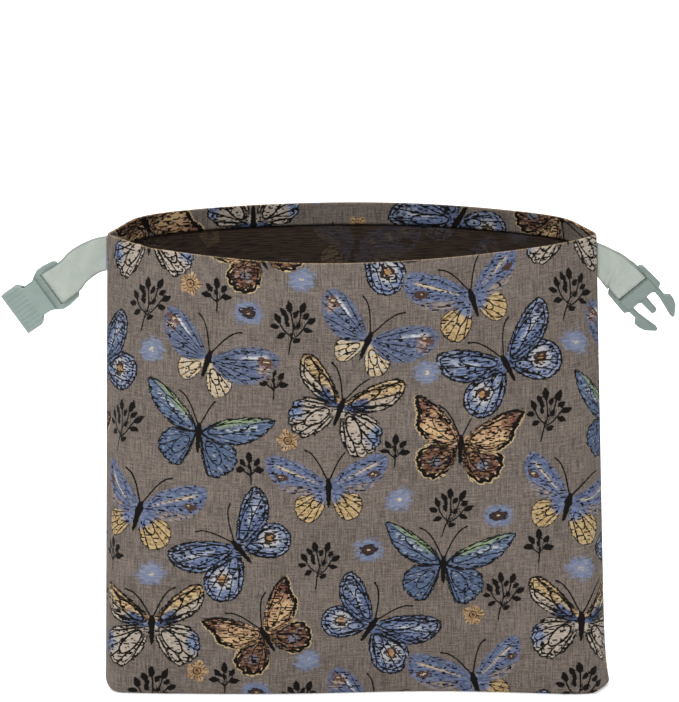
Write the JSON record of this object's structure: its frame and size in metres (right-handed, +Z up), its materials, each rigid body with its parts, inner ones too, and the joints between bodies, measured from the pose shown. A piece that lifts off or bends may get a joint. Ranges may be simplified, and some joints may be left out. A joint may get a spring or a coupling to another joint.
{
  "type": "bread bag",
  "caption": "Open-topped patterned cloth bread bag with a flat folded base, turned hem and a short webbing strap with half a side-release buckle at each side seam.",
  "frame": {"origin": "on the floor, below the middle of the bag's box, straps and buckle halves included", "axes": "+Z up out of the open mouth, +X towards the strap with the plug half, -Y towards the front panel"},
  "size_m": [0.487, 0.1466, 0.3449],
  "materials": {
    "jacquard_cloth": "taupe jacquard with woven butterflies, leaf sprigs and small flowers",
    "webbing": "sage-green ribbed webbing",
    "buckle_plastic": "sage-green satin moulding"
  },
  "bodies": {
    "root": {"front_panel": "jacquard_cloth", "back_panel": "jacquard_cloth", "strap_left": "webbing", "strap_right": "webbing", "buckle_socket": "buckle_plastic", "buckle_plug": "buckle_plastic"}
  },
  "joints": []
}
